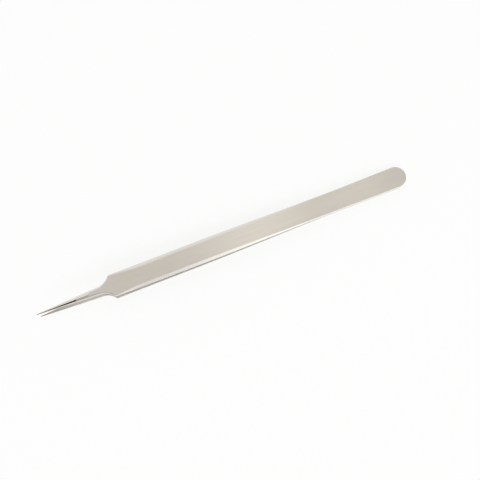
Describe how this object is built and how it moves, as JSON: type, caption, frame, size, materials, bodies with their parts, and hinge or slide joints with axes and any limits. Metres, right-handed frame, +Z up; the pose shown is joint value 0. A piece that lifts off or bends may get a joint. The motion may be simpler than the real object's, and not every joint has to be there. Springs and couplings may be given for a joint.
{
  "type": "straight tweezers",
  "caption": "Straight fine-point steel tweezers: flat sprung blades welded at a round tail, with bevelled edges, shoulders and needle tines.",
  "frame": {"origin": "on the table that the tweezers lie on, under the middle of their length and of their width", "axes": "+X from the tail to the tips, +Y across the blades, +Z up from the table, through both arms"},
  "size_m": [0.155, 0.009, 0.0095],
  "materials": {
    "blade_steel": "satin, with brighter ground bevels",
    "weld_steel": "dull, fused between the two sheets"
  },
  "bodies": {
    "heel": {"upper_heel": "blade_steel", "lower_heel": "blade_steel", "spot_welds": "weld_steel"},
    "upper_arm": {"upper_arm": "blade_steel"},
    "lower_arm": {"lower_arm": "blade_steel"}
  },
  "joints": [
    {"name": "upper_arm_flex", "type": "hinge", "parent": "heel", "child": "upper_arm", "pos_m": [-0.02952, 0, 0.00316], "axis": [0, 1, 0], "range_deg": [0, 2.15], "stiffness_Nm_per_rad": 4},
    {"name": "lower_arm_flex", "type": "hinge", "parent": "heel", "child": "lower_arm", "pos_m": [-0.02949, 0, 0.00185], "axis": [0, -1, 0], "range_deg": [0, 2.15], "stiffness_Nm_per_rad": 4}
  ],
  "couplings": [
    {"joint": "lower_arm_flex", "follows": "upper_arm_flex", "ratio": 1}
  ]
}
